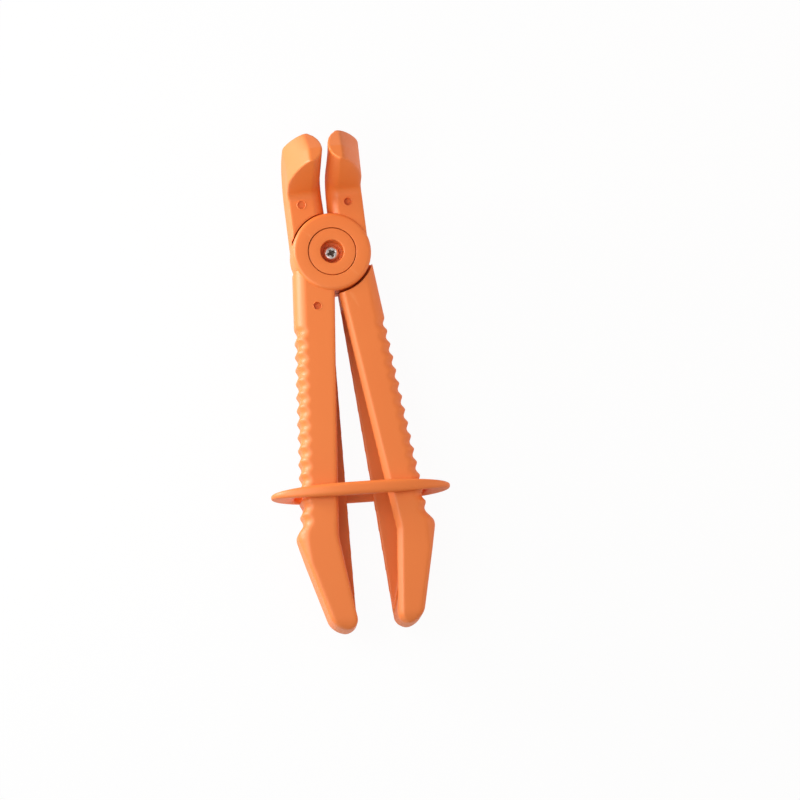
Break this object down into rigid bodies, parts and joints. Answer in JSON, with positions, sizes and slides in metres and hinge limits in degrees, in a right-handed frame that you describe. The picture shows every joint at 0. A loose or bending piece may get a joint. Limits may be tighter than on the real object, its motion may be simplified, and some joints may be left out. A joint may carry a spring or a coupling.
{
  "type": "hose pinch-off clamp",
  "caption": "Moulded plastic hose pinch-off clamp: two crossed arms on a screwed pivot, jaws bent forward, notched handles held together by an oblong sliding ring.",
  "frame": {"origin": "on the pivot axis, in the flat rear face of the hub", "axes": "+Y along the clamp towards the jaws, +Z along the pivot axis towards the screw, +X to the right as seen from the screw's side with the jaws up"},
  "size_m": [0.0632, 0.1738, 0.0436],
  "materials": {
    "orange_plastic": "fine satin moulding texture",
    "screw_steel": "bright zinc plated",
    "spring_steel": "plain spring wire"
  },
  "bodies": {
    "hub": {"pivot_plug_front": "orange_plastic", "pivot_plug_rear": "orange_plastic", "pivot_screw": "screw_steel", "hex_nut": "screw_steel", "opening_spring": "spring_steel"},
    "front_arm_body": {"front_arm": "orange_plastic"},
    "rear_arm_body": {"rear_arm": "orange_plastic"},
    "ring_body": {"locking_ring": "orange_plastic"}
  },
  "joints": [
    {"name": "front_arm_hinge", "type": "hinge", "parent": "hub", "child": "front_arm_body", "pos_m": [0, 0, 0.008], "axis": [0, 0, -1], "range_deg": [-1.6, 6.5]},
    {"name": "rear_arm_hinge", "type": "hinge", "parent": "hub", "child": "rear_arm_body", "pos_m": [0, 0, 0.008], "axis": [0, 0, 1], "range_deg": [-1.6, 6.5]},
    {"name": "ring_slide", "type": "slide", "parent": "hub", "child": "ring_body", "axis": [0, 1, 0], "range_m": [-0.0145, 0.0586]}
  ],
  "couplings": [
    {"joint": "rear_arm_hinge", "follows": "front_arm_hinge", "ratio": 1},
    {"joint": "ring_slide", "follows": "front_arm_hinge", "m_per_rad": 0.5157}
  ]
}
